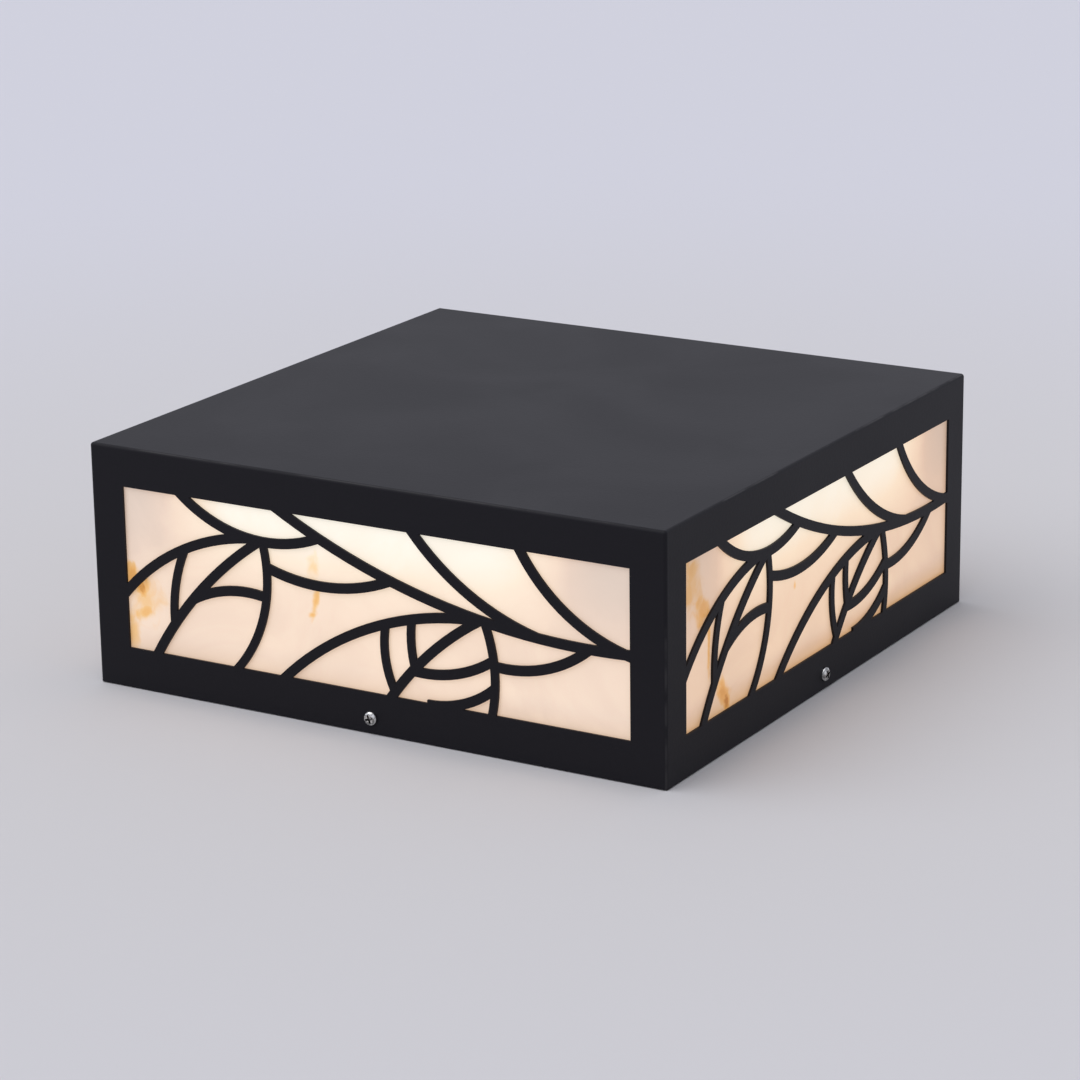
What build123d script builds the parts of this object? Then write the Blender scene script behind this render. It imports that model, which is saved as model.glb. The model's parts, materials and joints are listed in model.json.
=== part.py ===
# Gate pillar light: a square sheet-metal cover with leaf tracery over marble-effect panels,
# which lifts off a base plate that is bolted to the pillar and carries one screw-in lamp.
# Millimetres, +Z up. The origin is the centre of the underside, and the front looks along -Y.
import os
from math import asin, degrees, radians, tan

from build123d import *

os.makedirs("parts", exist_ok=True)

# Housing: five mitred sheet panels, welded along their edges
HOUSING_SIDE = 400.0
HOUSING_HEIGHT = 154.0
SHEET = 1.5
EDGE_RADIUS = 2.0
SKIRT_LIFT = 0.5

# Window in each side panel, and the bars that cross it
WINDOW_SIDE_MARGIN = 23.5
WINDOW_TOP_MARGIN = 25.0
WINDOW_BOTTOM_MARGIN = 26.0
BAR_WIDTH = 6.2
TWIG_WIDTH = 5.4

# Tracery: the centre line of each bar as an arc through three points, counted from the window's
# lower left corner on a window of this size. Bars that meet the frame run a little way past it.
TRACERY_SIZE = (353.0, 103.0)
TRACERY = {
    "upper_smile": ((40.5, 106), (86.3, 83.9), (141.8, 90)),
    "main_stem": ((110.3, 106), (230.8, 61), (356.3, 51.5)),
    "upper_vein": ((206, 106), (239.8, 75.1), (291.9, 52)),
    "right_vein": ((279.3, 106), (311.5, 69.4), (354.8, 50)),
    "left_arch": ((-3.7, 32.6), (36, 65.2), (91.3, 83)),
    "left_midrib": ((20, -2.5), (54.6, 44.2), (98.1, 81.2)),
    "left_branch": ((48.8, 37.9), (69.3, 46.4), (101.3, 48)),
    "left_leaf_edge": ((101.8, 82), (101.7, 38), (78.9, -2.5)),
    "left_twig": ((44.1, 68.5), (36.8, 46.5), (34.8, 21.6)),
    "lower_smile": ((103.8, 67), (146.3, 60.7), (192.3, 71.3)),
    "second_arch": ((113.5, -2.5), (174.1, 38.7), (244.8, 56)),
    "right_midrib": ((189.7, -2.5), (216.9, 28.9), (253.7, 56.6)),
    "outer_twig": ((188.2, 44), (187.2, 26), (193.9, 2.6)),
    "inner_twig": ((206.3, 48), (205.8, 35), (207.8, 21)),
    "right_leaf_edge": ((256.4, 56), (262.8, 27.5), (260.2, -2.5)),
    "low_vein": ((207.5, 18.3), (234.8, 20.7), (261.8, 33.1)),
    "low_leaf": ((263.3, 30), (295.3, 33.4), (326.9, 50.9)),
    "root_sliver": ((216.3, -1), (239.8, 2.9), (262.6, 16.1)),
}
TWIGS = ("left_leaf_edge", "left_twig", "outer_twig", "inner_twig", "right_leaf_edge")

# Marble-effect diffusers and the foam tape between each one and its side panel
DIFFUSER_THICKNESS = 3.0
DIFFUSER_LAP = 5.0
DIFFUSER_CHAMFER = 0.8
SEAL_THICKNESS = 0.5
SEAL_SETBACK = 2.0

# Bent clips that hold the diffusers, on welded studs with nuts
CLIP_SHEET = 1.0
CLIP_BEND = 1.0
CLIP_WIDTH = 12.0
CLIP_FOOT = 7.4
CLIP_GRIP = 4.0
CLIP_SPREAD = 110.0
CLIP_STUD_DIAMETER = 3.0
CLIP_STUD_LENGTH = 7.0
CLIP_STUD_OFFSET = 4.2
CLIP_NUT_FLATS = 5.5
CLIP_NUT_THICKNESS = 2.4

# Clearances: round fixed pins, between pieces that move past each other, and inside the skirt
PIN_CLEARANCE = 0.2
RUNNING_GAP = 0.3
SKIRT_GAP = 0.5

# Base plate on foam strips, with an upright angle along each side
GASKET_THICKNESS = 2.0
GASKET_WIDTH = 14.0
GASKET_SETBACK = 1.0
GASKET_JOINT_GAP = 0.5
BASE_SHEET = 1.5
BASE_CORNER_RADIUS = 3.0
ANGLE_SHEET = 1.5
ANGLE_BEND = 1.25
ANGLE_FOOT = 12.0
ANGLE_RISE = 9.5
ANGLE_END_GAP = 2.0
ANCHOR_SPACING = 240.0
ANCHOR_HOLE_DIAMETER = 9.0

# Side screws and the square nuts that their threads turn in
SCREW_DIAMETER = 5.0
SCREW_LENGTH = 12.0
SCREW_HEAD_DIAMETER = 9.0
SCREW_HEAD_HEIGHT = 2.6
SIDE_NUT_FLATS = 8.0
SIDE_NUT_THICKNESS = 4.0
SIDE_NUT_LIFT = 1.0

# Pan screws, as shares of the head's height or diameter, or of the shank's diameter
HEAD_ROUND_SHARE = 0.85
RECESS_DEPTH_SHARE = 0.55
RECESS_SPAN_SHARE = 0.6
RECESS_WIDTH_SHARE = 0.15
RECESS_TURN = 20.0
SCREW_POINT_SHARE = 0.1

# Small machine screws, studs and nuts inside
SMALL_SCREW_DIAMETER = 3.0
SMALL_HEAD_DIAMETER = 5.6
SMALL_HEAD_HEIGHT = 1.9
STUD_DIAMETER = 4.0
STUD_LENGTH = 9.5
NUT_FLATS = 7.0
NUT_THICKNESS = 3.2
NUT_CHAMFER = 0.3

# Cable entry grommet
CABLE_ENTRY = (-140.0, 0.0)
GROMMET_BORE_DIAMETER = 9.0
GROMMET_NECK_DIAMETER = 14.0
GROMMET_FLANGE_DIAMETER = 20.0
GROMMET_LOWER_FLANGE = 1.5
GROMMET_UPPER_FLANGE = 3.5
GROMMET_ROUND = 0.6

# Screw-in lamp, measured from the tip of its cap
LAMP_HEADROOM = 12.0
BULB_LENGTH = 108.0
BULB_DIAMETER = 60.0
TIP_DIAMETER = 9.0
TIP_HEIGHT = 1.5
INSULATOR_TOP_DIAMETER = 22.0
THREAD_START = 6.0
THREAD_PITCH = 3.629
THREAD_TURNS = 4
THREAD_CREST_DIAMETER = 26.4
THREAD_ROOT_DIAMETER = 24.2
CAP_HEIGHT = 26.0
CAP_WALL = 0.6
CAP_BORE_DIAMETER = 22.6
NECK_DIAMETER = 27.2
GLOBE_SEAT = 60.0
BULB_WALL = 1.5
LED_BOARD_THICKNESS = 1.2
LED_BOARD_GAP = 0.5
LED_CIRCLE_DIAMETER = 26.0
LED_COUNT = 8
LED_SIZE = (3.5, 2.8, 0.7)

# Ceramic lamp holder
HOLDER_HEIGHT = 42.0
HOLDER_DIAMETER = 43.0
HOLDER_RIM_DIAMETER = 41.0
HOLDER_SKIRT = 14.0
HOLDER_FLOOR = 12.0
HOLDER_BORE_DIAMETER = 30.4
HOLDER_ROUND = 1.5
SOCKET_DEPTH = 27.0
HOLDER_SCREW_SPREAD = 13.0
HOLDER_SCREW_BITE = 8.0
LEAD_HOLE_SPREAD = 6.0
LEAD_HOLE_DEPTH = 5.0
SHELL_WALL = 0.6
SHELL_SETBACK = 4.0
SHELL_LIP_DIAMETER = 30.0
SHELL_BASE_BORE = 16.0
CAP_CLEARANCE = 0.35
CONTACT_SHEET = 0.6
CONTACT_WIDTH = 6.0
CONTACT_FOOT = (-7.0, -4.0)
CONTACT_PAD = (0.0, 4.0)

# Bracket that lifts the lamp holder off the plate
BRACKET_SHEET = 1.5
BRACKET_BEND = 1.75
BRACKET_WIDTH = 44.0
BRACKET_SPAN = 46.0
BRACKET_FOOT = 15.0
BRACKET_LEAD_HOLE_DIAMETER = 20.0

# Terminal block
BLOCK_CENTRE = (-95.0, 0.0)
BLOCK_LENGTH = 20.0
BLOCK_POLE_PITCH = 14.0
BLOCK_BASE_HEIGHT = 9.0
BLOCK_HEIGHT = 15.0
BLOCK_END = 6.0
TOWER_LENGTH = 16.0
TOWER_WIDTH = 8.0
TOWER_CHAMFER = 0.8
BARREL_DIAMETER = 6.4
BARREL_HEIGHT = 5.5
TERMINAL_SCREW_DIAMETER = 4.0
TERMINAL_SCREW_SPREAD = 5.0
TERMINAL_SCREW_RECESS = 1.5
TERMINAL_SLOT_WIDTH = 0.8
TERMINAL_SLOT_DEPTH = 0.7
FIXING_LENGTH = 10.0

# Leads and the earth terminal
LEAD_DIAMETER = 2.6
LEAD_END_INSET = 1.5
LEAD_LOW = 2.6
LEAD_STRAIGHT = 14.0
LEAD_FALL = 30.0
LEAD_DRIFT = 1.0
LEAD_RADIUS_SHARE = 0.45
EARTH_STRAIGHT = 10.0
EARTH_SWING = 15.0
EARTH_STUD = (-60.0, 56.0)
TAG_SHEET = 0.8
TAG_DIAMETER = 9.0
TAG_BARREL_DIAMETER = 4.2
TAG_BARREL_LENGTH = 8.0
TAG_BARREL_START = 5.0
TAG_NECK_LENGTH = 3.0

# Sizes worked out from those above
WINDOW_WIDTH = HOUSING_SIDE - 2 * WINDOW_SIDE_MARGIN
WINDOW_HEIGHT = HOUSING_HEIGHT - WINDOW_TOP_MARGIN - WINDOW_BOTTOM_MARGIN
WINDOW_TOP = HOUSING_HEIGHT - WINDOW_TOP_MARGIN
WINDOW_MIDDLE = WINDOW_BOTTOM_MARGIN + WINDOW_HEIGHT / 2
INSIDE = HOUSING_SIDE / 2 - SHEET
DIFFUSER_LOW = WINDOW_BOTTOM_MARGIN - DIFFUSER_LAP
DIFFUSER_HIGH = WINDOW_TOP + DIFFUSER_LAP
BASE_TOP = GASKET_THICKNESS + BASE_SHEET
BASE_SIDE = 2 * (INSIDE - SKIRT_GAP)
ANGLE_TOP = BASE_TOP + ANGLE_RISE
ANGLE_LENGTH = BASE_SIDE - 2 * (ANGLE_FOOT + ANGLE_END_GAP)
SCREW_HEIGHT = BASE_TOP + ANGLE_SHEET + SIDE_NUT_LIFT + SIDE_NUT_FLATS / 2
SIDE_NUT_FACE = BASE_SIDE / 2 - ANGLE_SHEET - RUNNING_GAP
TIP_Z = HOUSING_HEIGHT - SHEET - LAMP_HEADROOM - BULB_LENGTH
GLOBE_RADIUS = BULB_DIAMETER / 2
GLOBE_CENTRE = TIP_Z + BULB_LENGTH - GLOBE_RADIUS
SEAT_Z = TIP_Z + GLOBE_SEAT
SEAT_RADIUS = (GLOBE_RADIUS**2 - (SEAT_Z - GLOBE_CENTRE) ** 2) ** 0.5
GLOBE_INNER = GLOBE_RADIUS - BULB_WALL
SEAT_INNER = (GLOBE_INNER**2 - (SEAT_Z - GLOBE_CENTRE) ** 2) ** 0.5
HOLDER_TOP = TIP_Z + SOCKET_DEPTH
HOLDER_BOTTOM = HOLDER_TOP - HOLDER_HEIGHT
SOCKET_FLOOR = HOLDER_BOTTOM + HOLDER_FLOOR
LEAD_HEIGHT = BASE_TOP + LEAD_LOW
BARREL_Z = BASE_TOP + BARREL_HEIGHT
BLOCK_TOP = BASE_TOP + BLOCK_HEIGHT

SIDES = {"front": 0, "right": 90, "back": 180, "left": 270}
POLES = (-BLOCK_POLE_PITCH, 0.0, BLOCK_POLE_PITCH)
ON_BASE = (Align.CENTER, Align.CENTER, Align.MIN)
ON_TOP = (Align.CENTER, Align.CENTER, Align.MAX)


def front_plane(distance):
    """An upright plane this far in front of the middle: local x to the right, local y up."""
    return Plane.XZ.offset(distance)


def on_window(x, y):
    """A point of the drawn tracery, moved and stretched onto the window in the front plane."""
    right = x / TRACERY_SIZE[0] * WINDOW_WIDTH - WINDOW_WIDTH / 2
    up = y / TRACERY_SIZE[1] * WINDOW_HEIGHT + WINDOW_BOTTOM_MARGIN
    return (right, up)


def save(piece, name):
    """Label a finished piece and write it as its own file."""
    piece.label = name
    export_step(piece, f"parts/{name}.step")


def save_each_side(piece, name):
    """Write a piece made for the front once for each of the four sides."""
    for side, turn in SIDES.items():
        save(piece.rotate(Axis.Z, turn), f"{side}_{name}")


# Fasteners used in several places


def pan_screw(diameter, length, head_diameter, head_height):
    """A screw with a cross-recessed pan head: head above z = 0, shank below."""
    with BuildPart() as screw:
        Cylinder(head_diameter / 2, head_height, align=ON_BASE)
        fillet(screw.edges().group_by(Axis.Z)[-1], head_height * HEAD_ROUND_SHARE)
        span = head_diameter * RECESS_SPAN_SHARE
        width = head_diameter * RECESS_WIDTH_SHARE
        depth = head_height * RECESS_DEPTH_SHARE
        with Locations((0, 0, head_height)):
            Box(span, width, depth, rotation=(0, 0, RECESS_TURN), align=ON_TOP, mode=Mode.SUBTRACT)
            Box(width, span, depth, rotation=(0, 0, RECESS_TURN), align=ON_TOP, mode=Mode.SUBTRACT)
        Cylinder(diameter / 2, length, align=ON_TOP)
        chamfer(screw.edges().group_by(Axis.Z)[0], diameter * SCREW_POINT_SHARE)
    return screw.part


def hex_nut(flats, thickness, pin_diameter):
    """A hexagon nut standing on z = 0, bored to clear the pin that it sits on."""
    with BuildPart() as nut:
        with BuildSketch():
            RegularPolygon(flats / 2, 6, major_radius=False)
        extrude(amount=thickness)
        chamfer(nut.edges().group_by(Axis.Z)[-1], NUT_CHAMFER)
        Hole(pin_diameter / 2 + PIN_CLEARANCE)
    return nut.part


# Housing panels, parted from one hollow box along its mitres

with BuildPart() as housing:
    with Locations((0, 0, SKIRT_LIFT)):
        Box(HOUSING_SIDE, HOUSING_SIDE, HOUSING_HEIGHT - SKIRT_LIFT, align=ON_BASE)
    rounded = housing.edges().filter_by(Axis.Z) + housing.edges().group_by(Axis.Z)[-1]
    fillet(rounded, EDGE_RADIUS)
    Box(2 * INSIDE, 2 * INSIDE, HOUSING_HEIGHT - SHEET, align=ON_BASE, mode=Mode.SUBTRACT)

with BuildPart() as top_panel:
    add(housing.part)
    for out_x, out_y in ((0, -1), (1, 0), (0, 1), (-1, 0)):
        edge = (out_x * HOUSING_SIDE / 2, out_y * HOUSING_SIDE / 2, HOUSING_HEIGHT)
        split(bisect_by=Plane(edge, z_dir=(-out_x, -out_y, 1)), keep=Keep.TOP)
save(top_panel.part, "top_panel")

with BuildPart() as grille:
    add(housing.part)
    split(bisect_by=Plane((0, -HOUSING_SIDE / 2, HOUSING_HEIGHT), z_dir=(0, 1, 1)), keep=Keep.BOTTOM)
    split(bisect_by=Plane((0, 0, 0), z_dir=(1, 1, 0)), keep=Keep.BOTTOM)
    split(bisect_by=Plane((0, 0, 0), z_dir=(-1, 1, 0)), keep=Keep.BOTTOM)
    with BuildSketch(front_plane(HOUSING_SIDE / 2)):
        with Locations((0, WINDOW_MIDDLE)):
            Rectangle(WINDOW_WIDTH, WINDOW_HEIGHT)
        for name, bar in TRACERY.items():
            with BuildLine():
                ThreePointArc(*(on_window(x, y) for x, y in bar))
            trace(line_width=TWIG_WIDTH if name in TWIGS else BAR_WIDTH, mode=Mode.SUBTRACT)
    extrude(amount=-SHEET, mode=Mode.SUBTRACT)
    with BuildSketch(front_plane(HOUSING_SIDE / 2)):
        with Locations((0, SCREW_HEIGHT)):
            Circle(SCREW_DIAMETER / 2 + PIN_CLEARANCE)
    extrude(amount=-SHEET, mode=Mode.SUBTRACT)
save_each_side(grille.part, "grille")

# Diffusers and their seals

with BuildPart() as diffuser:
    with BuildSketch(front_plane(INSIDE - SEAL_THICKNESS)):
        with Locations((0, WINDOW_MIDDLE)):
            Rectangle(WINDOW_WIDTH + 2 * DIFFUSER_LAP, WINDOW_HEIGHT + 2 * DIFFUSER_LAP)
    extrude(amount=-DIFFUSER_THICKNESS)
    chamfer(diffuser.faces().sort_by(Axis.Y)[-1].edges(), DIFFUSER_CHAMFER)
save_each_side(diffuser.part, "diffuser")

with BuildPart() as seal:
    with BuildSketch(front_plane(INSIDE)):
        with Locations((0, WINDOW_MIDDLE)):
            Rectangle(WINDOW_WIDTH + 2 * DIFFUSER_LAP, WINDOW_HEIGHT + 2 * DIFFUSER_LAP)
            Rectangle(
                WINDOW_WIDTH + 2 * SEAL_SETBACK,
                WINDOW_HEIGHT + 2 * SEAL_SETBACK,
                mode=Mode.SUBTRACT,
            )
    extrude(amount=-SEAL_THICKNESS)
save_each_side(seal.part, "seal")


# Diffuser clips with their studs and nuts


def diffuser_clip(edge_height, away):
    """A bent clip at the middle of the front: away is -1 below the diffuser and 1 above it."""
    foot = CLIP_SHEET / 2 - INSIDE
    tongue = foot + SEAL_THICKNESS + DIFFUSER_THICKNESS
    riser = edge_height + away * CLIP_SHEET / 2
    with BuildPart() as clip:
        with BuildSketch(Plane.YZ):
            with BuildLine():
                FilletPolyline(
                    (foot, edge_height + away * CLIP_FOOT),
                    (foot, riser),
                    (tongue, riser),
                    (tongue, edge_height - away * CLIP_GRIP),
                    radius=CLIP_BEND,
                )
            trace(line_width=CLIP_SHEET)
        extrude(amount=CLIP_WIDTH / 2, both=True)
        with BuildSketch(front_plane(INSIDE)):
            with Locations((0, edge_height + away * CLIP_STUD_OFFSET)):
                Circle(CLIP_STUD_DIAMETER / 2 + PIN_CLEARANCE)
        extrude(amount=-CLIP_SHEET, mode=Mode.SUBTRACT)
    return clip.part


lower_clip = diffuser_clip(DIFFUSER_LOW, -1)
upper_clip = diffuser_clip(DIFFUSER_HIGH, 1)
with BuildPart() as diffuser_clips:
    with PolarLocations(0, len(SIDES)):
        with GridLocations(2 * CLIP_SPREAD, 0, 2, 1):
            add(lower_clip)
            add(upper_clip)
save(diffuser_clips.part, "diffuser_clips")

clip_stud_heights = (DIFFUSER_LOW - CLIP_STUD_OFFSET, DIFFUSER_HIGH + CLIP_STUD_OFFSET)
clip_stud_points = [
    (across, -INSIDE, height) for across in (-CLIP_SPREAD, CLIP_SPREAD) for height in clip_stud_heights
]
with BuildPart() as clip_studs:
    with PolarLocations(0, len(SIDES)):
        with Locations(*clip_stud_points):
            Cylinder(CLIP_STUD_DIAMETER / 2, CLIP_STUD_LENGTH, rotation=(-90, 0, 0), align=ON_BASE)
save(clip_studs.part, "clip_studs")

clip_nut = hex_nut(CLIP_NUT_FLATS, CLIP_NUT_THICKNESS, CLIP_STUD_DIAMETER)
with BuildPart() as clip_nuts:
    with PolarLocations(0, len(SIDES)):
        with Locations(*((x, y + CLIP_SHEET, z) for x, y, z in clip_stud_points)):
            add(clip_nut, rotation=(-90, 0, 0))
save(clip_nuts.part, "clip_nuts")

# Side screws, and the square nuts that ride up with them

side_screw = pan_screw(SCREW_DIAMETER, SCREW_LENGTH, SCREW_HEAD_DIAMETER, SCREW_HEAD_HEIGHT)
with BuildPart() as side_screws:
    with PolarLocations(0, len(SIDES)):
        with Locations((0, -HOUSING_SIDE / 2, SCREW_HEIGHT)):
            add(side_screw, rotation=(90, 0, 0))
save(side_screws.part, "side_screws")

with BuildPart() as side_nut:
    with BuildSketch(front_plane(SIDE_NUT_FACE)):
        with Locations((0, SCREW_HEIGHT)):
            Rectangle(SIDE_NUT_FLATS, SIDE_NUT_FLATS)
            Circle(SCREW_DIAMETER / 2 + PIN_CLEARANCE, mode=Mode.SUBTRACT)
    extrude(amount=-SIDE_NUT_THICKNESS)
with BuildPart() as side_nuts:
    with PolarLocations(0, len(SIDES)):
        add(side_nut.part)
save(side_nuts.part, "side_nuts")

# Base plate, its foam strips and the angles that the side screws clamp to

fixing_points = [(BLOCK_CENTRE[0], BLOCK_CENTRE[1] + side * BLOCK_POLE_PITCH / 2) for side in (-1, 1)]
with BuildPart() as base_plate:
    with BuildSketch(Plane.XY.offset(GASKET_THICKNESS)):
        RectangleRounded(BASE_SIDE, BASE_SIDE, BASE_CORNER_RADIUS)
        with GridLocations(ANCHOR_SPACING, ANCHOR_SPACING, 2, 2):
            Circle(ANCHOR_HOLE_DIAMETER / 2, mode=Mode.SUBTRACT)
        with Locations(CABLE_ENTRY):
            Circle(GROMMET_NECK_DIAMETER / 2 + PIN_CLEARANCE, mode=Mode.SUBTRACT)
        with Locations(*fixing_points):
            Circle(SMALL_SCREW_DIAMETER / 2 + PIN_CLEARANCE, mode=Mode.SUBTRACT)
    extrude(amount=BASE_SHEET)
save(base_plate.part, "base_plate")

gasket_reach = BASE_SIDE / 2 - GASKET_SETBACK
with BuildPart() as base_gaskets:
    with PolarLocations(0, len(SIDES)):
        with Locations((-GASKET_WIDTH / 2, GASKET_WIDTH / 2 - gasket_reach, 0)):
            Box(
                2 * gasket_reach - GASKET_WIDTH - GASKET_JOINT_GAP,
                GASKET_WIDTH,
                GASKET_THICKNESS,
                align=ON_BASE,
            )
save(base_gaskets.part, "base_gaskets")

with BuildPart() as angle:
    upright = ANGLE_SHEET / 2 - BASE_SIDE / 2
    with BuildSketch(Plane.YZ):
        with BuildLine():
            FilletPolyline(
                (upright, ANGLE_TOP),
                (upright, BASE_TOP + ANGLE_SHEET / 2),
                (ANGLE_FOOT - BASE_SIDE / 2, BASE_TOP + ANGLE_SHEET / 2),
                radius=ANGLE_BEND,
            )
        trace(line_width=ANGLE_SHEET)
    extrude(amount=ANGLE_LENGTH / 2, both=True)
    slot_width = SCREW_DIAMETER + 2 * RUNNING_GAP
    with BuildSketch(front_plane(BASE_SIDE / 2)):
        with Locations((0, SCREW_HEIGHT)):
            Circle(slot_width / 2)
            Rectangle(slot_width, ANGLE_TOP - SCREW_HEIGHT, align=(Align.CENTER, Align.MIN))
    extrude(amount=-ANGLE_SHEET, mode=Mode.SUBTRACT)
save_each_side(angle.part, "angle")

# Cable entry

with BuildPart() as cable_grommet:
    with Locations((*CABLE_ENTRY, GASKET_THICKNESS)):
        Cylinder(GROMMET_NECK_DIAMETER / 2, BASE_SHEET, align=ON_BASE)
        Cylinder(GROMMET_FLANGE_DIAMETER / 2, GROMMET_LOWER_FLANGE, align=ON_TOP)
    with Locations((*CABLE_ENTRY, BASE_TOP)):
        Cylinder(GROMMET_FLANGE_DIAMETER / 2, GROMMET_UPPER_FLANGE, align=ON_BASE)
    fillet(cable_grommet.edges().group_by(Axis.Z)[-1], GROMMET_ROUND)
    with Locations((*CABLE_ENTRY, BASE_TOP + GROMMET_UPPER_FLANGE)):
        Hole(GROMMET_BORE_DIAMETER / 2)
save(cable_grommet.part, "cable_grommet")

# Bracket under the lamp holder, with its studs and nuts

bracket_stud_points = [(0, side * (BRACKET_SPAN + BRACKET_FOOT) / 2, BASE_TOP) for side in (-1, 1)]
holder_screw_points = [(side * HOLDER_SCREW_SPREAD, 0) for side in (-1, 1)]
with BuildPart() as holder_bracket:
    leg = (BRACKET_SPAN - BRACKET_SHEET) / 2
    foot_end = BRACKET_SPAN / 2 + BRACKET_FOOT
    foot_height = BASE_TOP + BRACKET_SHEET / 2
    deck_height = HOLDER_BOTTOM - BRACKET_SHEET / 2
    with BuildSketch(Plane.YZ):
        with BuildLine():
            FilletPolyline(
                (-foot_end, foot_height),
                (-leg, foot_height),
                (-leg, deck_height),
                (leg, deck_height),
                (leg, foot_height),
                (foot_end, foot_height),
                radius=BRACKET_BEND,
            )
        trace(line_width=BRACKET_SHEET)
    extrude(amount=BRACKET_WIDTH / 2, both=True)
    with BuildSketch(Plane.XY.offset(HOLDER_BOTTOM)):
        Circle(BRACKET_LEAD_HOLE_DIAMETER / 2)
        with Locations(*holder_screw_points):
            Circle(SMALL_SCREW_DIAMETER / 2 + PIN_CLEARANCE)
    extrude(amount=-BRACKET_SHEET, mode=Mode.SUBTRACT)
    with Locations(*bracket_stud_points):
        Cylinder(STUD_DIAMETER / 2 + PIN_CLEARANCE, 2 * BRACKET_SHEET, mode=Mode.SUBTRACT)
save(holder_bracket.part, "holder_bracket")

with BuildPart() as bracket_studs:
    with Locations(*bracket_stud_points):
        Cylinder(STUD_DIAMETER / 2, STUD_LENGTH, align=ON_BASE)
save(bracket_studs.part, "bracket_studs")

stud_nut = hex_nut(NUT_FLATS, NUT_THICKNESS, STUD_DIAMETER)
with BuildPart() as bracket_nuts:
    with Locations(*((x, y, z + BRACKET_SHEET) for x, y, z in bracket_stud_points)):
        add(stud_nut)
save(bracket_nuts.part, "bracket_nuts")

# Lamp holder: ceramic body, screw shell and sprung centre contact

lead_holes = [(0, side * LEAD_HOLE_SPREAD) for side in (-1, 1)]
with BuildPart() as lamp_holder:
    with BuildSketch(Plane.XZ):
        with BuildLine():
            Polyline(
                (0, HOLDER_BOTTOM),
                (HOLDER_DIAMETER / 2, HOLDER_BOTTOM),
                (HOLDER_DIAMETER / 2, HOLDER_BOTTOM + HOLDER_SKIRT),
                (HOLDER_RIM_DIAMETER / 2, HOLDER_TOP),
                (HOLDER_BORE_DIAMETER / 2, HOLDER_TOP),
                (HOLDER_BORE_DIAMETER / 2, SOCKET_FLOOR),
                (0, SOCKET_FLOOR),
                close=True,
            )
        make_face()
    revolve(axis=Axis.Z)
    fillet(lamp_holder.edges().group_by(Axis.Z)[-1], HOLDER_ROUND)
    with Locations(*((x, y, HOLDER_BOTTOM) for x, y in lead_holes)):
        Cylinder(LEAD_DIAMETER / 2 + PIN_CLEARANCE, LEAD_HOLE_DEPTH, align=ON_BASE, mode=Mode.SUBTRACT)
    with Locations(*((x, y, HOLDER_BOTTOM) for x, y in holder_screw_points)):
        Cylinder(
            SMALL_SCREW_DIAMETER / 2 + PIN_CLEARANCE,
            HOLDER_SCREW_BITE + PIN_CLEARANCE,
            align=ON_BASE,
            mode=Mode.SUBTRACT,
        )
save(lamp_holder.part, "lamp_holder")

with BuildPart() as socket_shell:
    shell_inner = THREAD_CREST_DIAMETER / 2 + CAP_CLEARANCE
    shell_outer = shell_inner + SHELL_WALL
    shell_top = HOLDER_TOP - SHELL_SETBACK
    with BuildSketch(Plane.XZ):
        with BuildLine():
            Polyline(
                (SHELL_BASE_BORE / 2, SOCKET_FLOOR),
                (shell_outer, SOCKET_FLOOR),
                (shell_outer, shell_top - SHELL_WALL),
                (SHELL_LIP_DIAMETER / 2, shell_top - SHELL_WALL),
                (SHELL_LIP_DIAMETER / 2, shell_top),
                (shell_inner, shell_top),
                (shell_inner, SOCKET_FLOOR + SHELL_WALL),
                (SHELL_BASE_BORE / 2, SOCKET_FLOOR + SHELL_WALL),
                close=True,
            )
        make_face()
    revolve(axis=Axis.Z)
save(socket_shell.part, "socket_shell")

with BuildPart() as socket_contact:
    contact_low = SOCKET_FLOOR + CONTACT_SHEET / 2
    contact_high = TIP_Z - RUNNING_GAP - CONTACT_SHEET / 2
    with BuildSketch(Plane.XZ):
        with BuildLine():
            FilletPolyline(
                (CONTACT_FOOT[0], contact_low),
                (CONTACT_FOOT[1], contact_low),
                (CONTACT_PAD[0], contact_high),
                (CONTACT_PAD[1], contact_high),
                radius=CONTACT_SHEET,
            )
        trace(line_width=CONTACT_SHEET)
    extrude(amount=CONTACT_WIDTH / 2, both=True)
save(socket_contact.part, "socket_contact")

holder_screw = pan_screw(
    SMALL_SCREW_DIAMETER, BRACKET_SHEET + HOLDER_SCREW_BITE, SMALL_HEAD_DIAMETER, SMALL_HEAD_HEIGHT
)
with BuildPart() as holder_screws:
    with Locations(*((x, y, HOLDER_BOTTOM - BRACKET_SHEET) for x, y in holder_screw_points)):
        add(holder_screw, rotation=(180, 0, 0))
save(holder_screws.part, "holder_screws")

# Screw-in lamp

with BuildPart() as bulb_tip:
    with Locations((0, 0, TIP_Z)):
        Cylinder(TIP_DIAMETER / 2, TIP_HEIGHT, align=ON_BASE)
    fillet(bulb_tip.edges().group_by(Axis.Z)[0], TIP_HEIGHT / 2)
save(bulb_tip.part, "bulb_tip")

with BuildPart() as bulb_insulator:
    with Locations((0, 0, TIP_Z + TIP_HEIGHT)):
        Cone(TIP_DIAMETER / 2, INSULATOR_TOP_DIAMETER / 2, THREAD_START - TIP_HEIGHT, align=ON_BASE)
save(bulb_insulator.part, "bulb_insulator")

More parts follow.
